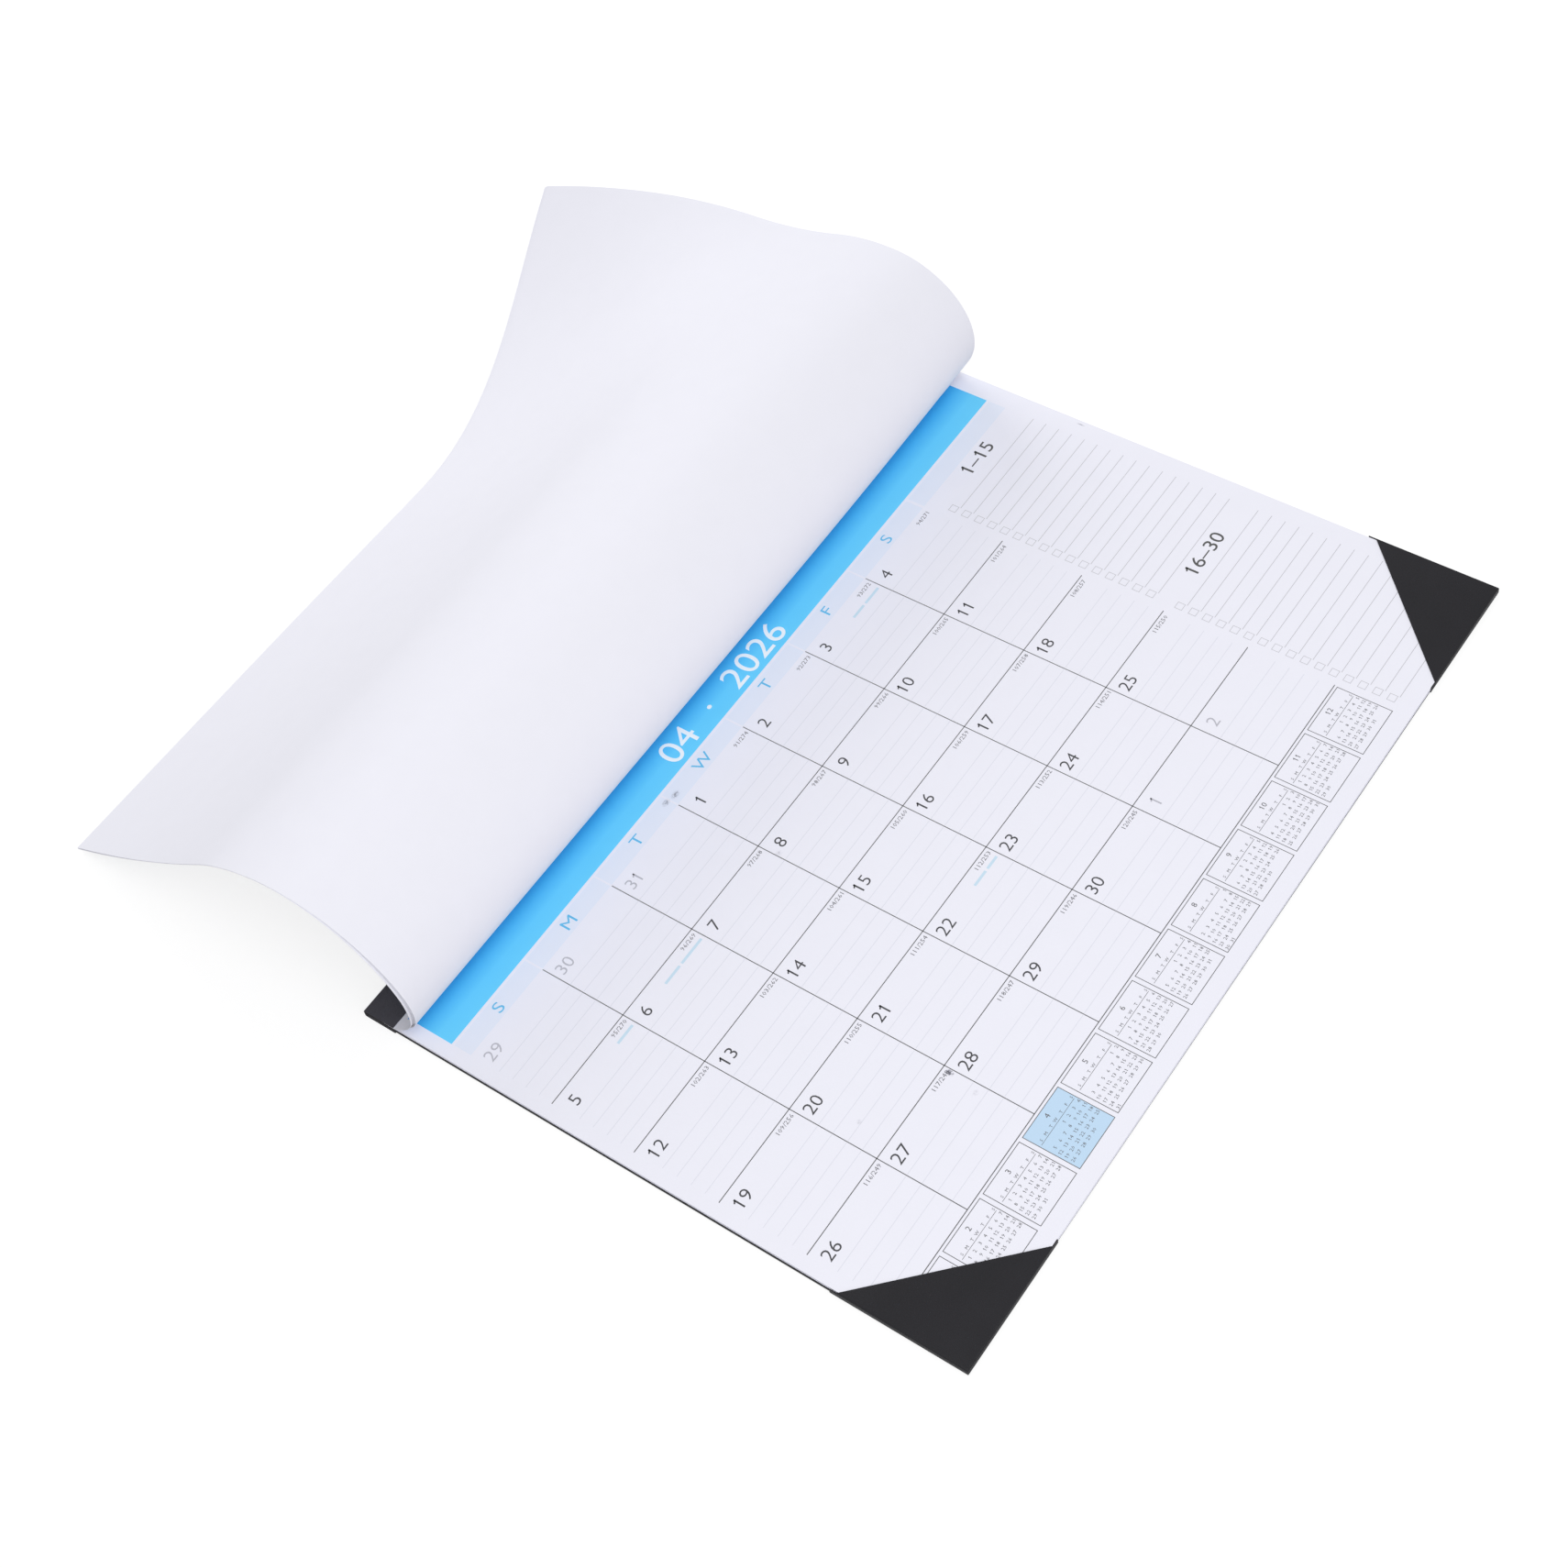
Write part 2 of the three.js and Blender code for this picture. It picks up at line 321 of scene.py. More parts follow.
class CalendarStageSettings(bpy.types.PropertyGroup):
    key_power: power_property("Key light", "Power of the soft light over the reader", 19)
    rim_power: power_property("Back light", "Power of the soft light behind the binding", 5)
    ambient: FloatProperty(
        name="Ambient", description="Strength of the light from all round", default=0.565,
        min=0, max=2,
    )
    lens: FloatProperty(
        name="Lens", description="Focal length of the camera", default=60.45, min=20, max=200,
        unit="CAMERA",
    )


# Meshes


def new_object(name, data):
    """An object with the data, in the scene."""
    made = bpy.data.objects.new(name, data)
    bpy.context.scene.collection.objects.link(made)
    return made


def finish_piece(name, mesh_data, material, replaces=()):
    """Turns a finished bmesh into a piece of the calendar with its material."""
    bmesh.ops.recalc_face_normals(mesh_data, faces=mesh_data.faces)
    mesh = bpy.data.meshes.new(name)
    mesh_data.to_mesh(mesh)
    mesh_data.free()
    piece = new_object(name, mesh)
    mesh.materials.append(material)
    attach(piece, "root")
    if replaces:
        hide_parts(*replaces)
    return piece


def smooth(piece):
    """Shades a piece smooth, but for its sharp edges."""
    piece.data.shade_smooth()
    piece.data.set_sharp_from_angle(angle=SHARP_ANGLE)


def add_bar(mesh_data, x0, y0, x1, y1, top):
    """A flat bar of ink between two corners, its underside just inside the sheet."""
    size = Vector((abs(x1 - x0), abs(y1 - y0), top + SUNK))
    middle = Vector(((x0 + x1) / 2, (y0 + y1) / 2, (top - SUNK) / 2))
    matrix = Matrix.Translation(middle) @ Matrix.Diagonal(size.to_4d())
    bmesh.ops.create_cube(mesh_data, size=1, matrix=matrix)


def add_frame(mesh_data, x0, y0, x1, y1, width, top):
    """Four bars of ink round a rectangle."""
    half = width / 2
    add_bar(mesh_data, x0 - half, y0 - half, x1 + half, y0 + half, top)
    add_bar(mesh_data, x0 - half, y1 - half, x1 + half, y1 + half, top)
    add_bar(mesh_data, x0 - half, y0 + half, x0 + half, y1 - half, top)
    add_bar(mesh_data, x1 - half, y0 + half, x1 + half, y1 - half, top)


def soft_edged_copy(node, width=None):
    """A copy of a solid with its flat faces made whole and its edges softly rounded."""
    shape = bmesh.new()
    shape.from_mesh(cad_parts[node].data)
    bmesh.ops.remove_doubles(shape, verts=shape.verts, dist=1e-6)
    bmesh.ops.dissolve_limit(shape, angle_limit=FLAT_ANGLE, verts=shape.verts, edges=shape.edges)
    if width:
        low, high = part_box(node)
        middle = Matrix.Translation((-(low[0] + high[0]) / 2, 0, 0))
        narrower = (width / (high[0] - low[0]), 1, 1)
        bmesh.ops.scale(shape, vec=narrower, verts=shape.verts, space=middle)
    arrises = [edge for edge in shape.edges if edge.calc_face_angle(0) > SHARP_ANGLE]
    bmesh.ops.bevel(
        shape, geom=arrises, offset=ARRIS, offset_type="OFFSET", affect="EDGES", segments=2,
        profile=0.5, material=-1, clamp_overlap=True,
    )
    return shape


LETTERING = {}


def add_flags(shape, text):
    """Gives each digit one its short slanted stroke."""
    for place, character in enumerate(text):
        if character == "1":
            middle = (place - (len(text) - 1) / 2) * DIGIT_ADVANCE
            stroke = Matrix.Translation((middle + FLAG_PLACE[0], FLAG_PLACE[1], 0))
            stroke = stroke @ Matrix.Rotation(FLAG_TURN, 4, "Z") @ Matrix.Diagonal(FLAG_SIZE)
            bmesh.ops.create_cube(shape, size=1, matrix=stroke)


def lettering(text, weight, detail):
    """A mesh of the text, a unit thick, its digits a unit high, centred and kept for reuse."""
    key = (text, weight, detail)
    if key not in LETTERING:
        curve = bpy.data.curves.new("lettering", "FONT")
        curve.body = text
        curve.align_x = "CENTER"
        curve.resolution_u = detail
        curve.offset = weight
        curve.extrude = 0.5
        holder = bpy.data.objects.new("lettering", curve)
        mesh = bpy.data.meshes.new_from_object(holder)
        bpy.data.objects.remove(holder)
        bpy.data.curves.remove(curve)
        shape = bmesh.new()
        shape.from_mesh(mesh)
        bmesh.ops.remove_doubles(shape, verts=shape.verts, dist=1e-4)
        if all(character in DIGITS for character in text):
            add_flags(shape, text)
        taller = (DIGIT_ASPECT / DIGIT_RISE, 1 / DIGIT_RISE, 1)
        bmesh.ops.scale(shape, vec=taller, verts=shape.verts)
        shape.to_mesh(mesh)
        shape.free()
        LETTERING[key] = mesh
    return LETTERING[key]


def add_text(mesh_data, text, x, y, height, align=0.0, weight=0.0, detail=3, stretch=1.0):
    """Prints the text with its middle at x, y; align 1 sets its right end there."""
    mesh = lettering(text, weight, detail)
    edges = [vertex.co.x for vertex in mesh.vertices]
    middle = (min(edges) + max(edges)) / 2 + align * (max(edges) - min(edges)) / 2
    before = len(mesh_data.verts)
    mesh_data.from_mesh(mesh)
    printed = list(mesh_data.verts)[before:]
    scale = Matrix.Diagonal((height * stretch, height, NUMBER_TOP + SUNK, 1))
    left, low = x - middle * height * stretch, y - height / 2
    shift = Matrix.Translation((left, low, (NUMBER_TOP - SUNK) / 2))
    bmesh.ops.transform(mesh_data, matrix=shift @ scale, verts=printed)


def lay_flat(mesh_data):
    """Moves a print from the grid's own corner to the open page."""
    bmesh.ops.translate(mesh_data, vec=GRID_ORIGIN, verts=mesh_data.verts)


def split_for_bending(mesh_data):
    """Cuts a flat print where the turned leaf's rows and columns run, so that it can bend."""
    cuts = []
    for distance in leaf_rows()[1:]:
        cuts.append((Vector((0, CREASE_Y - distance, 0)), Vector((0, 1, 0))))
    for column in range(1, LEAF_COLUMNS):
        x = column / LEAF_COLUMNS * LEAF_WIDTH - GRID_INSET.x
        cuts.append((Vector((x, 0, 0)), Vector((1, 0, 0))))
    for place, normal in cuts:
        everything = mesh_data.verts[:] + mesh_data.edges[:] + mesh_data.faces[:]
        bmesh.ops.bisect_plane(
            mesh_data, geom=everything, dist=1e-7, plane_co=place, plane_no=normal,
        )


def lay_on_leaf(mesh_data, table, settings, raised):
    """Bends a flat print on to the printed side of the innermost turned leaf."""
    over = settings.leaf_thickness / 2 + raised
    innermost = TURNED_LEAVES - 1
    for vertex in mesh_data.verts:
        share = (vertex.co.x + GRID_INSET.x) / LEAF_WIDTH
        distance = CREASE_Y - vertex.co.y
        vertex.co = leaf_point(table, settings, innermost, share, distance, over + vertex.co.z)


# Materials


def add_node(tree, kind, **inputs):
    """A new node with the given input values; names with underscores stand for spaces."""
    node = tree.nodes.new(kind)
    for name, value in inputs.items():
        node.inputs[name.replace("_", " ")].default_value = value
    return node


def math_node(tree, operation, first, second=None):
    """A Math node whose inputs are numbers or sockets; gives its output."""
    node = tree.nodes.new("ShaderNodeMath")
    node.operation = operation
    for socket, value in zip(node.inputs, (first, second)):
        if isinstance(value, (int, float)):
            socket.default_value = value
        elif value is not None:
            tree.links.new(value, socket)
    return node.outputs[0]


def vector_node(tree, operation, first, second, place):
    """A Vector Math node, its second socket linked at the given place; gives its output."""
    node = tree.nodes.new("ShaderNodeVectorMath")
    node.operation = operation
    tree.links.new(first, node.inputs[0])
    tree.links.new(second, node.inputs[place])
    return node.outputs[0]


def weighted(tree, operation, first, first_weight, second, second_weight):
    """Two patterns joined by an operation, each times its weight."""
    first = math_node(tree, "MULTIPLY", first, first_weight)
    second = math_node(tree, "MULTIPLY", second, second_weight)
    return math_node(tree, operation, first, second)


def mix_color(tree, factor, first, second):
    """A colour mix whose inputs are values or sockets; gives its output."""
    node = tree.nodes.new("ShaderNodeMix")
    node.data_type = "RGBA"
    inputs = ((node.inputs[0], factor), (node.inputs[6], first), (node.inputs[7], second))
    for socket, value in inputs:
        if isinstance(value, (int, float, tuple)):
            socket.default_value = value
        else:
            tree.links.new(value, socket)
    return node.outputs[2]


def object_point(tree):
    """The shaded point in the object's own coordinates."""
    return tree.nodes.new("ShaderNodeTexCoord").outputs["Object"]


def noise(tree, point, scale, detail=2.0, roughness=0.5):
    """A noise pattern of so many cells to the metre; gives its factor."""
    node = add_node(tree, "ShaderNodeTexNoise", Scale=scale, Detail=detail, Roughness=roughness)
    tree.links.new(point, node.inputs["Vector"])
    return node.outputs["Fac"]


def ramp(tree, factor, low, high, to_low=0.0, to_high=1.0):
    """Maps a span of the factor to another span, clamped."""
    node = tree.nodes.new("ShaderNodeMapRange")
    for socket, value in zip(node.inputs[1:5], (low, high, to_low, to_high)):
        socket.default_value = value
    tree.links.new(factor, node.inputs[0])
    return node.outputs[0]


def new_group(name, inputs, outputs):
    """An empty shader node group with named sockets; gives the tree, its input and its output."""
    tree = bpy.data.node_groups.new(name, "ShaderNodeTree")
    sockets = [(socket, "INPUT") for socket in inputs] + [(socket, "OUTPUT") for socket in outputs]
    for socket, side in sockets:
        kind = "NodeSocketColor" if socket == "Color" else "NodeSocketFloat"
        made = tree.interface.new_socket(name=socket, in_out=side, socket_type=kind)
        if side == "INPUT":
            made.default_value = inputs[socket]
    return tree, tree.nodes.new("NodeGroupInput"), tree.nodes.new("NodeGroupOutput")


def give(tree, result, **sockets):
    """Links the named patterns to a group's output."""
    for name, socket in sockets.items():
        tree.links.new(socket, result.inputs[name])


def paper_fibre_group():
    """Soft mottling and fine fibre of paper."""
    if "Paper Fibre" in bpy.data.node_groups:
        return bpy.data.node_groups["Paper Fibre"]
    tree, given, result = new_group(
        "Paper Fibre",
        {"Color": (0.8, 0.8, 0.8, 1), "Mottle": 0.02, "Roughness": 0.8},
        ("Color", "Roughness", "Height"),
    )
    point = object_point(tree)
    cloud = noise(tree, point, 90, 3)
    fibre = noise(tree, point, 1900, 3, 0.65)
    tooth = noise(tree, point, 5200, 2)
    spread = weighted(tree, "ADD", cloud, 0.6, fibre, 0.4)
    around = math_node(tree, "SUBTRACT", spread, 0.5)
    darker = math_node(tree, "MULTIPLY", around, given.outputs["Mottle"])
    level = math_node(tree, "ADD", darker, 1.0)
    shaded = vector_node(tree, "SCALE", given.outputs["Color"], level, "Scale")
    uneven = math_node(tree, "MULTIPLY", math_node(tree, "SUBTRACT", fibre, 0.5), 0.12)
    rough = math_node(tree, "ADD", given.outputs["Roughness"], uneven)
    height = weighted(tree, "ADD", fibre, 0.6, tooth, 0.4)
    give(tree, result, Color=shaded, Roughness=rough, Height=height)
    return tree


def leather_grain_group():
    """Pebbled grain pressed into leatherette: cells with soft creases between them."""
    if "Leather Grain" in bpy.data.node_groups:
        return bpy.data.node_groups["Leather Grain"]
    tree, given, result = new_group(
        "Leather Grain", {"Cells": 1400.0}, ("Crease", "Shade", "Height"),
    )
    point = object_point(tree)
    cells = tree.nodes.new("ShaderNodeTexVoronoi")
    cells.feature = "DISTANCE_TO_EDGE"
    cells.inputs["Randomness"].default_value = 0.9
    warp = noise(tree, point, 700, 2)
    moved = vector_node(tree, "ADD", point, math_node(tree, "MULTIPLY", warp, 0.0006), 1)
    tree.links.new(moved, cells.inputs["Vector"])
    tree.links.new(given.outputs["Cells"], cells.inputs["Scale"])
    crease = ramp(tree, cells.outputs["Distance"], 0.02, 0.18, 1.0, 0.0)
    broad = noise(tree, point, 35, 3)
    fine = noise(tree, point, 4200, 2)
    height = weighted(tree, "SUBTRACT", fine, 0.35, crease, 0.65)
    give(tree, result, Crease=crease, Shade=broad, Height=height)
    return tree


def new_material(name, roughness, shine=0.5):
    """A material with only a Principled shader; gives the material, its tree and the shader."""
    material = bpy.data.materials.new(name)
    material.use_nodes = True
    tree = material.node_tree
    shader = tree.nodes["Principled BSDF"]
    shader.inputs["Roughness"].default_value = roughness
    shader.inputs["Specular IOR Level"].default_value = shine
    return material, tree, shader


def add_bump(tree, shader, height, distance, strength):
    """Feeds a height pattern to the shader's normal."""
    bump = add_node(tree, "ShaderNodeBump", Strength=strength, Distance=distance)
    tree.links.new(height, bump.inputs["Height"])
    tree.links.new(bump.outputs[0], shader.inputs["Normal"])


def rgba(color):
    """A colour property as the four numbers of a colour socket."""
    return (*color[:3], 1.0)


def group_node(tree, group, **inputs):
    """A node of the group with the given input values."""
    node = tree.nodes.new("ShaderNodeGroup")
    node.node_tree = group
    for name, value in inputs.items():
        node.inputs[name].default_value = value
    return node


def use_paper(tree, shader, color, mottle, roughness):
    """Places the paper fibre group and links it to the shader; gives the group node."""
    fibre = paper_fibre_group()
    paper = group_node(tree, fibre, Color=rgba(color), Mottle=mottle, Roughness=roughness)
    tree.links.new(paper.outputs["Color"], shader.inputs["Base Color"])
    tree.links.new(paper.outputs["Roughness"], shader.inputs["Roughness"])
    return paper


def paper_surface(name, color, mottle, roughness, relief):
    """A material with paper's fibre and tooth; also gives its tree, shader and fibre node."""
    material, tree, shader = new_material(name, roughness, PAPER_SHINE)
    paper = use_paper(tree, shader, color, mottle, roughness)
    add_bump(tree, shader, paper.outputs["Height"], PAPER_TOOTH, relief)
    return material, tree, shader, paper


def paper_material(name, color):
    """Smooth white offset paper."""
    return paper_surface(name, color, 0.035, 0.72, 0.35)[0]


def ink_material(name, color, mottle):
    """Offset ink on the paper: the same tooth, with slightly uneven cover."""
    return paper_surface(name, color, mottle, 0.6, 0.3)[0]


def band_material(name, color):
    """Ink of the title band, with painted shade darkening it towards the binding."""
    material, tree, shader, paper = paper_surface(name, color, 0.04, 0.55, 0.3)
    axes = tree.nodes.new("ShaderNodeSeparateXYZ")
    tree.links.new(object_point(tree), axes.inputs[0])
    crease = GRID_ORIGIN.y + CREASE_Y
    # Painted shade: towards the crease the band's colour darkens, standing in for the loop's
    # shadow
    depth = ramp(tree, axes.outputs["Y"], *(crease - below for below in LOOP_SHADE_SPAN))
    deep = rgba([part * share for part, share in zip(color, LOOP_SHADE_INK)])
    band_with_painted_shade = mix_color(tree, depth, paper.outputs["Color"], deep)
    tree.links.new(band_with_painted_shade, shader.inputs["Base Color"])
    return material


def leatherette_material(name, color, grain_size):
    """Black leatherette with a fine pebbled grain and a low sheen."""
    material, tree, shader = new_material(name, 0.55, 0.22)
    grain = group_node(tree, leather_grain_group(), Cells=1 / grain_size)
    light = tuple(min(1.0, part * 1.3) for part in color[:3])
    dark = tuple(part * 0.7 for part in color[:3])
    shade = mix_color(tree, grain.outputs["Shade"], rgba(dark), rgba(light))
    sunk = math_node(tree, "MULTIPLY", grain.outputs["Crease"], 0.35)
    tree.links.new(mix_color(tree, sunk, shade, rgba(dark)), shader.inputs["Base Color"])
    rough = ramp(tree, grain.outputs["Crease"], 0, 1, 0.5, 0.68)
    tree.links.new(rough, shader.inputs["Roughness"])
    add_bump(tree, shader, grain.outputs["Height"], 0.05 * MM, 0.35)
    return material


def board_material(color):
    """Black-faced card with short fibres and worn, slightly paler arrises."""
    material, tree, shader = new_material("black_card", 0.8)
    paper = use_paper(tree, shader, color, 0.5, 0.8)
    point = object_point(tree)
    scuffs = ramp(tree, noise(tree, point, 260, 4, 0.7), 0.55, 0.75)
    pale = tuple(min(1.0, part * 2.2 + 0.01) for part in color[:3])
    thin = math_node(tree, "MULTIPLY", scuffs, 0.5)
    worn = mix_color(tree, thin, paper.outputs["Color"], rgba(pale))
    tree.links.new(worn, shader.inputs["Base Color"])
    add_bump(tree, shader, paper.outputs["Height"], 0.04 * MM, 0.5)
    return material


def wire_material():
    """Galvanised wire drawn lengthways."""
    material, tree, shader = new_material("galvanised_wire", 0.35)
    shader.inputs["Metallic"].default_value = 1.0
    stretch = tree.nodes.new("ShaderNodeMapping")
    stretch.inputs["Scale"].default_value = (1, 14, 14)
    tree.links.new(object_point(tree), stretch.inputs["Vector"])
    drawn = noise(tree, stretch.outputs[0], 600, 3)
    tone = mix_color(tree, drawn, (0.5, 0.51, 0.53, 1), (0.68, 0.69, 0.7, 1))
    tree.links.new(tone, shader.inputs["Base Color"])
    tree.links.new(ramp(tree, drawn, 0.3, 0.7, 0.28, 0.45), shader.inputs["Roughness"])
    add_bump(tree, shader, drawn, 0.01 * MM, 0.3)
    return material


def smudge_material():
    """Faint grey finger marks that fade out at their rims."""
    material, tree, shader = new_material("smudge", 0.8)
    rim = tree.nodes.new("ShaderNodeAttribute")
    rim.attribute_name = "cover"
    speckle = ramp(tree, noise(tree, object_point(tree), 1100, 3), 0.35, 0.65)
    shader.inputs["Base Color"].default_value = (0.16, 0.16, 0.2, 1)
    cover = math_node(tree, "MULTIPLY", rim.outputs["Fac"], speckle)
    tree.links.new(cover, shader.inputs["Alpha"])
    return material


# The turned leaves' surface


def blend(first, second, share):
    """The value a share of the way from first to second."""
    return first + (second - first) * share


def heading_at(distance, share):
    """Which way the sheet runs, as an angle from +Y, that far past the crease."""
    if distance < 0:
        return math.pi
    reached = distance / CREASE_TO_EDGE
    last = len(ARCS) - 1
    index = next((i for i, arc in enumerate(ARCS) if arc[0] >= reached and i > 0), last)
    start, end = ARCS[index - 1], ARCS[index]
    along = (reached - start[0]) / (end[0] - start[0])
    curl = max(0, (share - CURL_FROM) / (1 - CURL_FROM)) ** 2
    left, right = blend(start[1], end[1], along), blend(start[2], end[2], along)
    return math.radians(blend(left, right, curl))


def swing_at(distance, share):
    """How far the sheet has swung to the left."""
    run = max(0, (distance / CREASE_TO_EDGE - SWING_FROM) / (1 - SWING_FROM))
    return blend(LEFT_SWING, RIGHT_SWING, share) * run ** 2


def leaf_rows():
    """Distances of the sheet's rows from the crease, the bound edge first."""
    return [-ROOT] + [CREASE_TO_EDGE * row / LEAF_ROWS for row in range(LEAF_ROWS + 1)]


def leaf_table():
    """For each column of the sheet, the point and heading at every row."""
    middle_x = (PAGE_LOW.x + PAGE_HIGH.x) / 2
    root_z = PAGE_HIGH.z + SOLID_GAP + SOLID_THICKNESS / 2
    rows = leaf_rows()
    table = []
    for column in range(LEAF_COLUMNS + 1):
        share = column / LEAF_COLUMNS
        start = (share - 0.5) * LEAF_WIDTH
        x, y, z = start, PAGE_HIGH.y, root_z
        line = [(Vector((middle_x + x, y, z)), math.pi)]
        for last, distance in zip(rows, rows[1:]):
            step = distance - last
            heading = heading_at(distance - step / 2, share)
            next_x = start - swing_at(distance, share)
            run = math.sqrt(step ** 2 - (next_x - x) ** 2)
            x = next_x
            y += run * math.cos(heading)
            z += run * math.sin(heading)
            line.append((Vector((middle_x + x, y, z)), heading_at(distance, share)))
        table.append(line)
    return table


def on_leaf(table, share, distance, lift):
    """The turned sheet's point at a share of its width, a distance past the crease and a lift."""
    column = min(max(share, 0), 1) * LEAF_COLUMNS
    row = 1 + distance / CREASE_TO_EDGE * LEAF_ROWS if distance >= 0 else 1 + distance / ROOT
    row = min(max(row, 0), LEAF_ROWS + 1)
    left, low = min(int(column), LEAF_COLUMNS - 1), min(int(row), LEAF_ROWS)
    u, v = column - left, row - low
    point = Vector()
    heading = 0
    for i, j, weight in (
        (left, low, (1 - u) * (1 - v)),
        (left + 1, low, u * (1 - v)),
        (left, low + 1, (1 - u) * v),
        (left + 1, low + 1, u * v),
    ):
        point += table[i][j][0] * weight
        heading += table[i][j][1] * weight
    return point + Vector((0, math.sin(heading), -math.cos(heading))) * lift


def leaf_point(table, settings, leaf, share, distance, height=0.0):
    """A point on a turned leaf, 0 being the outermost, at a height towards its printed side."""
    reached = distance / CREASE_TO_EDGE
    lift = (leaf - 1) * TURNED_PITCH
    lift += leaf * settings.loop_gap * 0.5 * swell(reached, *LOOP_SWELL)
    lift += leaf * FREE_GAP * swell(reached, *FREE_SWELL)
    point = on_leaf(table, share, distance, lift + height)
    point.x -= SIDE_STEPS[leaf] * swell(reached, *SIDE_SWELL)
    return point


def swell(value, low, peak, high):
    """Rises smoothly from 0 at low to 1 at peak and falls to 0 at high."""
    if value <= low or value >= high:
        return 0.0
    share = (value - low) / (peak - low) if value < peak else (high - value) / (high - peak)
    return share * share * (3 - 2 * share)


# Print


def first_day(month):
    """The weekday, Sunday being 0, on which the month starts."""
    return (FIRST_WEEKDAY + sum(MONTH_DAYS[:month])) % DAYS_IN_WEEK


def print_bands(settings):
    """The title band and the weekday band."""
    title = bmesh.new()
    add_bar(title, *TITLE_BAND, FIELD_TOP)
    header = bmesh.new()
    low, high = HEADER_BAND
    for column in range(DAYS_IN_WEEK):
        left = column * settings.cell_width
        right = left + settings.cell_width
        add_bar(header, left + HEADER_GAP, low, right - HEADER_GAP, high, FIELD_TOP)
    add_bar(header, GRID_RIGHT + HEADER_GAP, low, TITLE_BAND[2], high, FIELD_TOP)
    return title, header


def print_grid(settings):
    """The lines between the days."""
    grid = bmesh.new()
    half = settings.line_width / 2
    for column in range(1, DAYS_IN_WEEK):
        x = column * settings.cell_width
        add_bar(grid, x - half, -WEEKS * settings.cell_depth, x + half, GRID_ABOVE, LINE_TOP)
    for week in range(1, WEEKS + 1):
        y = -week * settings.cell_depth
        add_bar(grid, GRID_LEFT, y - half, GRID_RIGHT, y + half, LINE_TOP)
    return grid


def print_rules(settings):
    """The faint writing rules in each day."""
    rules = bmesh.new()
    for week in range(WEEKS):
        for rule in range(2, RULES_IN_DAY):
            y = -(week + rule / RULES_IN_DAY) * settings.cell_depth
            for column in range(DAYS_IN_WEEK):
                x = column * settings.cell_width
                left, right = x + RULE_INSET, x + settings.cell_width - RULE_INSET
                add_bar(rules, left, y - RULE_HALF, right, y + RULE_HALF, FIELD_TOP)
    return rules


def print_lists():
    """The boxes and lines of the two lists beside the days."""
    lists = bmesh.new()
    left, right = LISTS
    inner, half = left + LIST_BOX, LIST_BOX / 2
    for first, pitch, _ in LIST_RUNS:
        for row in range(LIST_ROWS):
            y = first - row * pitch
            add_frame(lists, left, y - half, inner, y + half, LIST_BOX_LINE, LINE_TOP)
            line = y - half - LIST_LINE_DROP
            add_bar(lists, inner, line - LIST_LINE_HALF, right, line + LIST_LINE_HALF, LINE_TOP)
    return lists


def print_year(open_month):
    """The row of small months: their frames, their numbers, and the field of the open month."""
    frames, numbers, field = bmesh.new(), bmesh.new(), bmesh.new()
    top, bottom = YEAR_ROW
    across, down = YEAR_DAY_PITCH
    for month, days in enumerate(MONTH_DAYS):
        left = YEAR_LEFT + month * YEAR_PITCH
        right = left + YEAR_BOX
        add_frame(frames, left, bottom, right, top, YEAR_LINE, LINE_TOP)
        inset, drop, half = YEAR_RULE
        rule = top - drop
        add_bar(frames, left + inset, rule - half, right - inset, rule + half, LINE_TOP)
        if month == open_month:
            add_bar(field, left, bottom, right, top, FIELD_TOP)
        drop, height = YEAR_NUMBER
        add_text(numbers, str(month + 1), (left + right) / 2, top - drop, height, detail=2)
        inset, drop, height = YEAR_LETTERS
        for day, letter in enumerate(WEEKDAY_LETTERS):
            x = left + inset + day * across
            add_text(numbers, letter, x, top - drop, height, align=1, detail=1)
        inset, drop, height = YEAR_DAYS_AT
        for day in range(days):
            week, weekday = divmod(first_day(month) + day, DAYS_IN_WEEK)
            x, y = left + inset + weekday * across, top - drop - week * down
            add_text(numbers, str(day + 1), x, y, height, align=1, detail=1)
    return frames, numbers, field


def print_days(settings, month):
    """The numbers of the month's days, of the days beside it, and the small day counts."""
    numbers, beside, counts = bmesh.new(), bmesh.new(), bmesh.new()
    before = sum(MONTH_DAYS[:month])
    height = settings.numeral_height
    for cell in range(WEEKS * DAYS_IN_WEEK):
        week, weekday = divmod(cell, DAYS_IN_WEEK)
        x = weekday * settings.cell_width + NUMBER_INSET
        top = -week * settings.cell_depth
        y = top - (NUMBER_DROP if week else FIRST_WEEK_DROP)
        day = cell - first_day(month) + 1
        if day < 1:
            add_text(beside, str(day + MONTH_DAYS[month - 1]), x, y, height, weight=THIN)
        elif day > MONTH_DAYS[month]:
            add_text(beside, str(day - MONTH_DAYS[month]), x, y, height, weight=THIN)
        else:
            add_text(numbers, str(day), x, y, height, weight=THIN)
            count = f"{before + day}/{YEAR_DAYS - before - day}"
            x = (weekday + 1) * settings.cell_width - COUNT_INSET
            y = top - COUNT_DROP
            add_text(counts, count, x, y, COUNT_HEIGHT, align=1, detail=1, stretch=1.06)
    return numbers, beside, counts


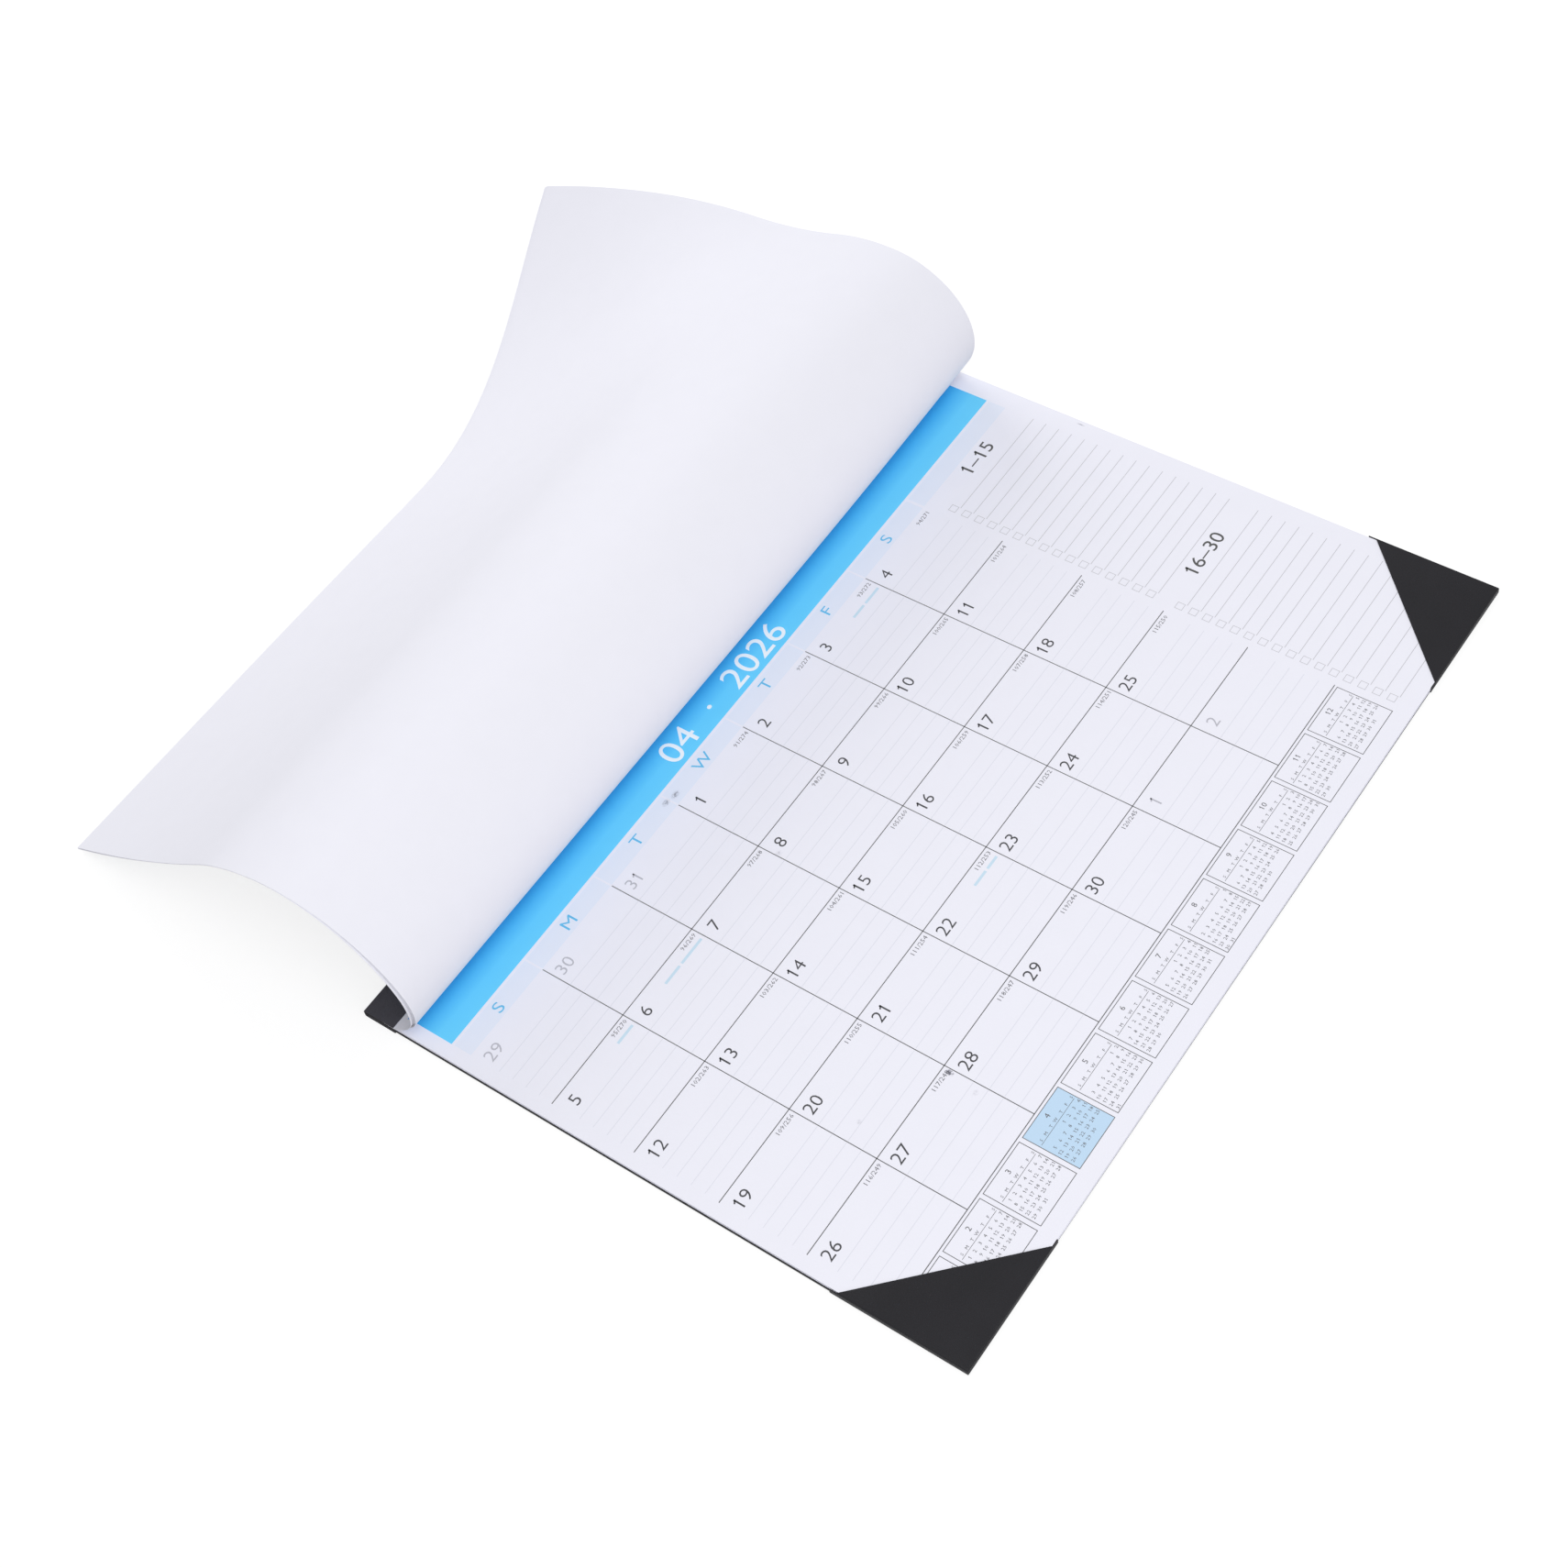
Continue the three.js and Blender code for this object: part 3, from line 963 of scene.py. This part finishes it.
def print_heads(settings, month):
    """The title number, the weekday letters and the numbers over the two lists."""
    title, weekdays, lists = bmesh.new(), bmesh.new(), bmesh.new()
    left, low, right, _ = TITLE_BAND
    middle = (left + right) / 2
    text = f"{month + 1:02d}  ·  2026"
    add_text(title, text, middle, low + TITLE_RISE, TITLE_HEIGHT, detail=6, stretch=1.06)
    y = sum(HEADER_BAND) / 2
    for column, letter in enumerate(WEEKDAY_LETTERS):
        x = (column + 0.5) * settings.cell_width
        add_text(weekdays, letter, x, y, HEADER_HEIGHT, detail=5, stretch=1.15)
    for text, (_, _, y) in zip(LIST_HEADS, LIST_RUNS):
        add_text(lists, text, sum(LISTS) / 2, y, LIST_HEAD_HEIGHT, detail=5, stretch=1.05)
    return title, weekdays, lists


def print_marks():
    """Faint finger marks, thickest in their middle."""
    marks = bmesh.new()
    cover = marks.verts.layers.float.new("cover")
    for x, y, half_width, half_depth, covered in MARKS:
        scale = Matrix.Diagonal((half_width * MM, half_depth * MM, 1, 1))
        place = Matrix.Translation((x * MM, y * MM, MARK_TOP))
        made = bmesh.ops.create_circle(
            marks, cap_ends=True, cap_tris=True, segments=24, radius=1, matrix=place @ scale,
        )
        for vertex in made["verts"]:
            if len(vertex.link_edges) > 3:
                vertex[cover] = covered
    return marks


def print_day_notes(settings):
    """Pale bars in the place of the days' short notes, one bar to a word."""
    notes = bmesh.new()
    for day, words in DAY_NOTES:
        week, weekday = divmod(first_day(OPEN_MONTH) + day - 1, DAYS_IN_WEEK)
        right = (weekday + 1) * settings.cell_width - NOTE_INSET
        y = -week * settings.cell_depth - NOTE_DROP - (0 if week else FIRST_NOTE_DROP)
        for word in reversed(words):
            add_bar(notes, right - word * MM, y - NOTE_HALF, right, y + NOTE_HALF, FIELD_TOP)
            right -= (word + WORD_GAP) * MM
    return notes


def month_print(settings, month):
    """Everything printed on one month's page, as a mesh for each ink."""
    parts = {}
    parts["title_band"], parts["weekday_band"] = print_bands(settings)
    parts["day_grid"] = print_grid(settings)
    parts["writing_rules"] = print_rules(settings)
    parts["list_lines"] = print_lists()
    for names, made in (
        (("year_frames", "year_numbers", "open_month_field"), print_year(month)),
        (("day_numbers", "neighbour_numbers", "day_counts"), print_days(settings, month)),
        (("title_number", "weekday_letters", "list_numbers"), print_heads(settings, month)),
    ):
        parts.update(zip(names, made))
    return parts


def print_material(settings, name):
    """The ink of a printed piece, made once."""
    if name == "finger_marks":
        return smudge_material()
    ink = name + "_ink"
    if ink in bpy.data.materials:
        return bpy.data.materials[ink]
    if name == "title_band":
        return band_material(ink, settings.band_color)
    chosen = {
        "weekday_band": (settings.header_color, 0.03),
        "day_grid": (settings.line_color, 0.1),
        "year_frames": (settings.line_color, 0.1),
        "open_month_field": (settings.month_color, 0.04),
        "day_numbers": (settings.ink_color, 0.1),
    }
    return ink_material(ink, *(chosen.get(name) or INKS[name]))


# Operators


class CALENDAR_OT_flat_leaves(bpy.types.Operator):
    """Stacks the leaves that lie on the board"""

    bl_idname = "calendar.flat_leaves"
    bl_label = "Flat Leaves"

    def execute(self, context):
        settings = context.scene.calendar_paper
        shuffle = random.Random(TRIM_SEED)
        stack = bmesh.new()
        board_low, board_high = (Vector(corner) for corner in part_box("backing_board"))
        left, right = board_low.x + EDGE_INSET, board_high.x - EDGE_INSET
        pitch = (PAGE_HIGH.z - PAGE_LOW.z) / settings.flat_leaves
        for leaf in range(settings.flat_leaves):
            top_leaf = leaf == settings.flat_leaves - 1
            trim = [0 if top_leaf else shuffle.uniform(0, TRIM) for _ in range(4)]
            low = Vector((left + trim[0], board_low.y, PAGE_LOW.z + leaf * pitch))
            high = Vector((right - trim[2], PAGE_HIGH.y - trim[3], low.z + pitch * LEAF_SHARE))
            if top_leaf:
                high.z = PAGE_HIGH.z
            matrix = Matrix.Translation((low + high) / 2) @ Matrix.Diagonal((high - low).to_4d())
            made = bmesh.ops.create_cube(stack, size=1, matrix=matrix)
            for vertex in made["verts"]:
                if vertex.co.y < board_low.y + MM:
                    share = (vertex.co.x - left) / (right - left)
                    vertex.co.y += trim[1] - blend(*FRONT_REACH, share)
        material = paper_material("page_paper", settings.page_color)
        finish_piece("page_leaves", stack, material, ("page_block",))
        return {"FINISHED"}


class CALENDAR_OT_turned_leaves(bpy.types.Operator):
    """Bends the used leaves up and back over the binding"""

    bl_idname = "calendar.turned_leaves"
    bl_label = "Turned Leaves"

    def execute(self, context):
        settings = context.scene.calendar_paper
        table = leaf_table()
        rows = leaf_rows()
        thickness = settings.leaf_thickness
        # Painted light: a slightly lighter copy of the page's paper
        material = paper_material("turned_paper_painted_light", settings.turned_color)
        for leaf in range(TURNED_LEAVES):
            sheet = bmesh.new()
            bmesh.ops.create_grid(
                sheet, x_segments=LEAF_COLUMNS, y_segments=len(rows) - 1, size=0.5,
            )
            for vertex in sheet.verts:
                share = vertex.co.x + 0.5
                fan = FAN[0] + FAN[1] * swell(share, *FAN_SWELL)
                shorter = (TURNED_LEAVES - 1 - leaf) * settings.edge_fan * fan
                distance = rows[round((vertex.co.y + 0.5) * (len(rows) - 1))]
                if distance > 0:
                    distance *= 1 - shorter / CREASE_TO_EDGE
                vertex.co = leaf_point(table, settings, leaf, share, distance, -thickness / 2)
            sheet.normal_update()
            bmesh.ops.solidify(sheet, geom=sheet.faces[:], thickness=thickness)
            name = f"turned_leaf_{leaf + 1}"
            smooth(finish_piece(name, sheet, material, ("turned_leaves",)))
        return {"FINISHED"}


class CALENDAR_OT_page_print(bpy.types.Operator):
    """Prints the bands, lines and numbers on the open page"""

    bl_idname = "calendar.page_print"
    bl_label = "Page Print"

    def execute(self, context):
        settings = context.scene.calendar_print
        parts = month_print(settings, OPEN_MONTH)
        parts["day_notes"] = print_day_notes(settings)
        parts["finger_marks"] = print_marks()
        for name, mesh_data in parts.items():
            lay_flat(mesh_data)
            finish_piece(name, mesh_data, print_material(settings, name))
        return {"FINISHED"}


class CALENDAR_OT_turned_print(bpy.types.Operator):
    """Prints the hidden side of the innermost turned leaf"""

    bl_idname = "calendar.turned_print"
    bl_label = "Turned Leaf Print"

    def execute(self, context):
        settings, paper = context.scene.calendar_print, context.scene.calendar_paper
        table = leaf_table()
        for name, mesh_data in month_print(settings, TURNED_MONTH).items():
            written = name.endswith(WRITTEN)
            if not written:
                split_for_bending(mesh_data)
            lay_on_leaf(mesh_data, table, paper, WRITTEN_RISE if written else 0)
            material = print_material(settings, name)
            finish_piece("turned_" + name, mesh_data, material)
        return {"FINISHED"}


class CALENDAR_OT_cover(bpy.types.Operator):
    """Finishes the board, the binding strip, the corner pockets and the staples"""

    bl_idname = "calendar.cover"
    bl_label = "Cover Parts"

    def execute(self, context):
        settings = context.scene.calendar_cover
        grain = settings.grain_size
        # Painted light: the strip takes a paler copy of the pockets' leatherette, standing in for
        # light on it
        strip_lit_color = tuple(min(1.0, part * STRIP_PAINTED_LIGHT) for part in settings.cover_color)
        leather = leatherette_material("leatherette", settings.cover_color, grain)
        strip_lit_leather = leatherette_material("strip_leatherette_painted_light", strip_lit_color, grain)
        for node, width, finish in (
            ("binding_strip", STRIP_WIDTH, strip_lit_leather),
            ("corner_pocket_left", None, leather),
            ("corner_pocket_right", None, leather),
        ):
            cover = soft_edged_copy(node, width)
            smooth(finish_piece(node + "_cover", cover, finish, (node,)))
        finishes = {"backing_board": board_material(settings.board_color)}
        wire = wire_material()
        for name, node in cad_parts.items():
            if name.startswith("binding_staple"):
                finishes[name] = wire
            if name in finishes:
                node.data.materials.clear()
                node.data.materials.append(finishes[name])
        return {"FINISHED"}


class CALENDAR_OT_stage(bpy.types.Operator):
    """Sets the pale floor, the soft light and the camera"""

    bl_idname = "calendar.stage"
    bl_label = "Stage"

    def execute(self, context):
        settings = context.scene.calendar_stage
        scene = context.scene
        scene.view_settings.view_transform = "Standard"
        add_floor()
        add_world(scene, settings.ambient)
        add_soft_light("key", settings.key_power, *KEY_LIGHT)
        add_soft_light("rim", settings.rim_power, *RIM_LIGHT)
        add_camera(scene, settings.lens)
        return {"FINISHED"}


def seen_by(tree, *rays):
    """Gives 1 to rays of the named kinds and 0 to others."""
    path = tree.nodes.new("ShaderNodeLightPath")
    seen = path.outputs[rays[0]]
    for ray in rays[1:]:
        seen = math_node(tree, "MAXIMUM", seen, path.outputs[ray])
    return seen


def add_floor():
    """A wide pale floor that shows white to the camera and still takes the object's shadow."""
    ground = bmesh.new()
    bmesh.ops.create_grid(ground, x_segments=1, y_segments=1, size=FLOOR_HALF)
    mesh = bpy.data.meshes.new("floor")
    ground.to_mesh(mesh)
    ground.free()
    floor = new_object("floor", mesh)
    material, tree, shader = new_material("floor", 0.9, 0)
    seen = seen_by(tree, "Is Camera Ray", "Is Glossy Ray", "Is Transmission Ray")
    tree.links.new(mix_color(tree, seen, FLOOR_LIT, FLOOR_SEEN), shader.inputs["Base Color"])
    shader.inputs["Emission Color"].default_value = WHITE
    glow = math_node(tree, "MULTIPLY", seen, FLOOR_GLOW)
    tree.links.new(glow, shader.inputs["Emission Strength"])
    mesh.materials.append(material)


def add_world(scene, ambient):
    """Even light from all round, which the camera sees as plain white."""
    world = bpy.data.worlds.new("studio")
    scene.world = world
    world.use_nodes = True
    tree = world.node_tree
    background = tree.nodes["Background"]
    background.inputs["Color"].default_value = WHITE
    seen = seen_by(tree, "Is Camera Ray", "Is Transmission Ray")
    strength = ramp(tree, seen, 0.0, 1.0, ambient, 1.0)
    tree.links.new(strength, background.inputs["Strength"])


def add_soft_light(name, power, place, size):
    """A large round soft light that looks at the calendar."""
    lamp = bpy.data.lights.new(name, "AREA")
    lamp.shape = "DISK"
    lamp.size = size
    lamp.energy = power
    holder = new_object(name, lamp)
    turn = place.to_track_quat("Z", "Y").to_matrix().to_4x4()
    holder.matrix_world = Matrix.Translation(place) @ turn


def add_camera(scene, lens):
    """The camera at the reader's left, looking down over the page."""
    data = bpy.data.cameras.new("camera")
    data.lens = lens
    data.sensor_width = SENSOR
    camera = new_object("camera", data)
    right = CAMERA_RIGHT.normalized()
    back = right.cross(CAMERA_UP).normalized()
    turn = Matrix((right, back.cross(right), back)).transposed().to_4x4()
    camera.matrix_world = Matrix.Translation(CAMERA_PLACE) @ turn
    scene.camera = camera


class CALENDAR_PT_panel(bpy.types.Panel):
    """Lists the calendar's parts and their values"""

    bl_idname = "CALENDAR_PT_panel"
    bl_label = "Desk Pad Calendar"
    bl_space_type = "VIEW_3D"
    bl_region_type = "UI"
    bl_category = "Calendar"

    def draw(self, context):
        for operator in OPERATORS:
            self.layout.operator(operator.bl_idname)
        for settings in SETTINGS:
            group = getattr(context.scene, settings)
            for name in group.__annotations__:
                self.layout.prop(group, name)


SETTINGS = {
    "calendar_paper": CalendarPaperSettings,
    "calendar_print": CalendarPrintSettings,
    "calendar_cover": CalendarCoverSettings,
    "calendar_stage": CalendarStageSettings,
}
OPERATORS = (
    CALENDAR_OT_flat_leaves,
    CALENDAR_OT_turned_leaves,
    CALENDAR_OT_page_print,
    CALENDAR_OT_turned_print,
    CALENDAR_OT_cover,
    CALENDAR_OT_stage,
)


def register():
    """Adds the settings, the operators and the panel."""
    for name, group in SETTINGS.items():
        bpy.utils.register_class(group)
        setattr(bpy.types.Scene, name, PointerProperty(type=group))
    for operator in OPERATORS:
        bpy.utils.register_class(operator)
    bpy.utils.register_class(CALENDAR_PT_panel)


def unregister():
    """Takes the settings, the operators and the panel away."""
    bpy.utils.unregister_class(CALENDAR_PT_panel)
    for operator in reversed(OPERATORS):
        bpy.utils.unregister_class(operator)
    for name, group in SETTINGS.items():
        delattr(bpy.types.Scene, name)
        bpy.utils.unregister_class(group)


def main():
    """Builds the whole calendar and its stage."""
    register()
    bpy.ops.calendar.flat_leaves()
    bpy.ops.calendar.turned_leaves()
    bpy.ops.calendar.page_print()
    bpy.ops.calendar.turned_print()
    bpy.ops.calendar.cover()
    bpy.ops.calendar.stage()


if __name__ == "__main__":
    main()
